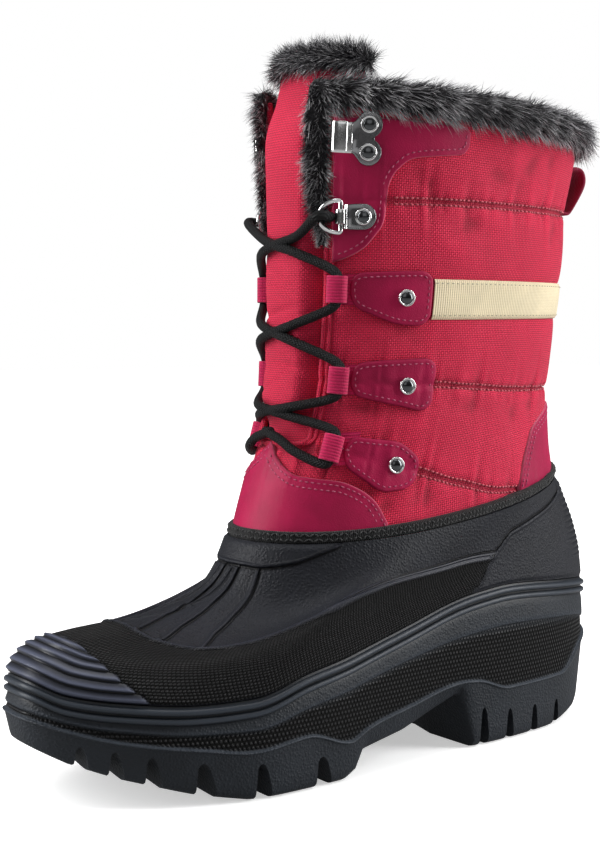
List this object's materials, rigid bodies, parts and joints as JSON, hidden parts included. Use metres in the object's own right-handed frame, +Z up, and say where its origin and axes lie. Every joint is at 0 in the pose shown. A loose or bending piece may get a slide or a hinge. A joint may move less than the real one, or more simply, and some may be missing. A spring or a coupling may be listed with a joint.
{
  "type": "snow boot",
  "caption": "Left snow boot with a fur-trimmed quilted nylon shaft, laced throat over a padded tongue, rubber shell and lugged sole, standing empty.",
  "frame": {"origin": "middle of the whole boot's box, at the floor the sole stands on", "axes": "-Y towards the toe, +X towards the outer (lateral) side of the left foot, +Z up"},
  "size_m": [0.1162, 0.3044, 0.3122],
  "materials": {
    "sole_rubber": "fine moulded grain, satin",
    "shell_rubber": "fine moulded grain, satin",
    "grey_felt": "matte felt",
    "red_nylon": "basket weave nylon, soft sheen",
    "magenta_leather": "smooth coated, satin",
    "magenta_webbing": "ribbed webbing",
    "beige_webbing": "woven webbing",
    "black_tape": "woven binding",
    "grey_fur": "soft pile",
    "bright_metal": "polished nickel",
    "black_cord": "braided cord"
  },
  "bodies": {
    "root": {"outsole": "sole_rubber", "insole": "grey_felt", "shell": "shell_rubber", "shaft": "red_nylon", "tongue": "red_nylon", "vamp_overlay": "magenta_leather", "heel_counter": "magenta_leather", "eyestay_lateral": "magenta_leather", "eyestay_medial": "magenta_leather", "side_strip": "beige_webbing", "binding_tape": "black_tape", "pull_loop": "magenta_leather", "fur_collar": "grey_fur", "fur_tongue": "grey_fur", "lace": "black_cord", "tab_lateral_1": "magenta_leather", "rivet_lateral_1": "bright_metal", "webbing_loop_lateral_1": "magenta_webbing", "tab_lateral_2": "magenta_leather", "rivet_lateral_2": "bright_metal", "webbing_loop_lateral_2": "magenta_webbing", "tab_lateral_3": "magenta_leather", "rivet_lateral_3": "bright_metal", "webbing_loop_lateral_3": "magenta_webbing", "d_ring_lateral": "bright_metal", "d_ring_plate_lateral": "bright_metal", "speed_hook_lateral": "bright_metal", "tab_medial_1": "magenta_leather", "rivet_medial_1": "bright_metal", "webbing_loop_medial_1": "magenta_webbing", "tab_medial_2": "magenta_leather", "rivet_medial_2": "bright_metal", "webbing_loop_medial_2": "magenta_webbing", "tab_medial_3": "magenta_leather", "rivet_medial_3": "bright_metal", "webbing_loop_medial_3": "magenta_webbing", "d_ring_medial": "bright_metal", "d_ring_plate_medial": "bright_metal", "speed_hook_medial": "bright_metal"}
  },
  "joints": []
}
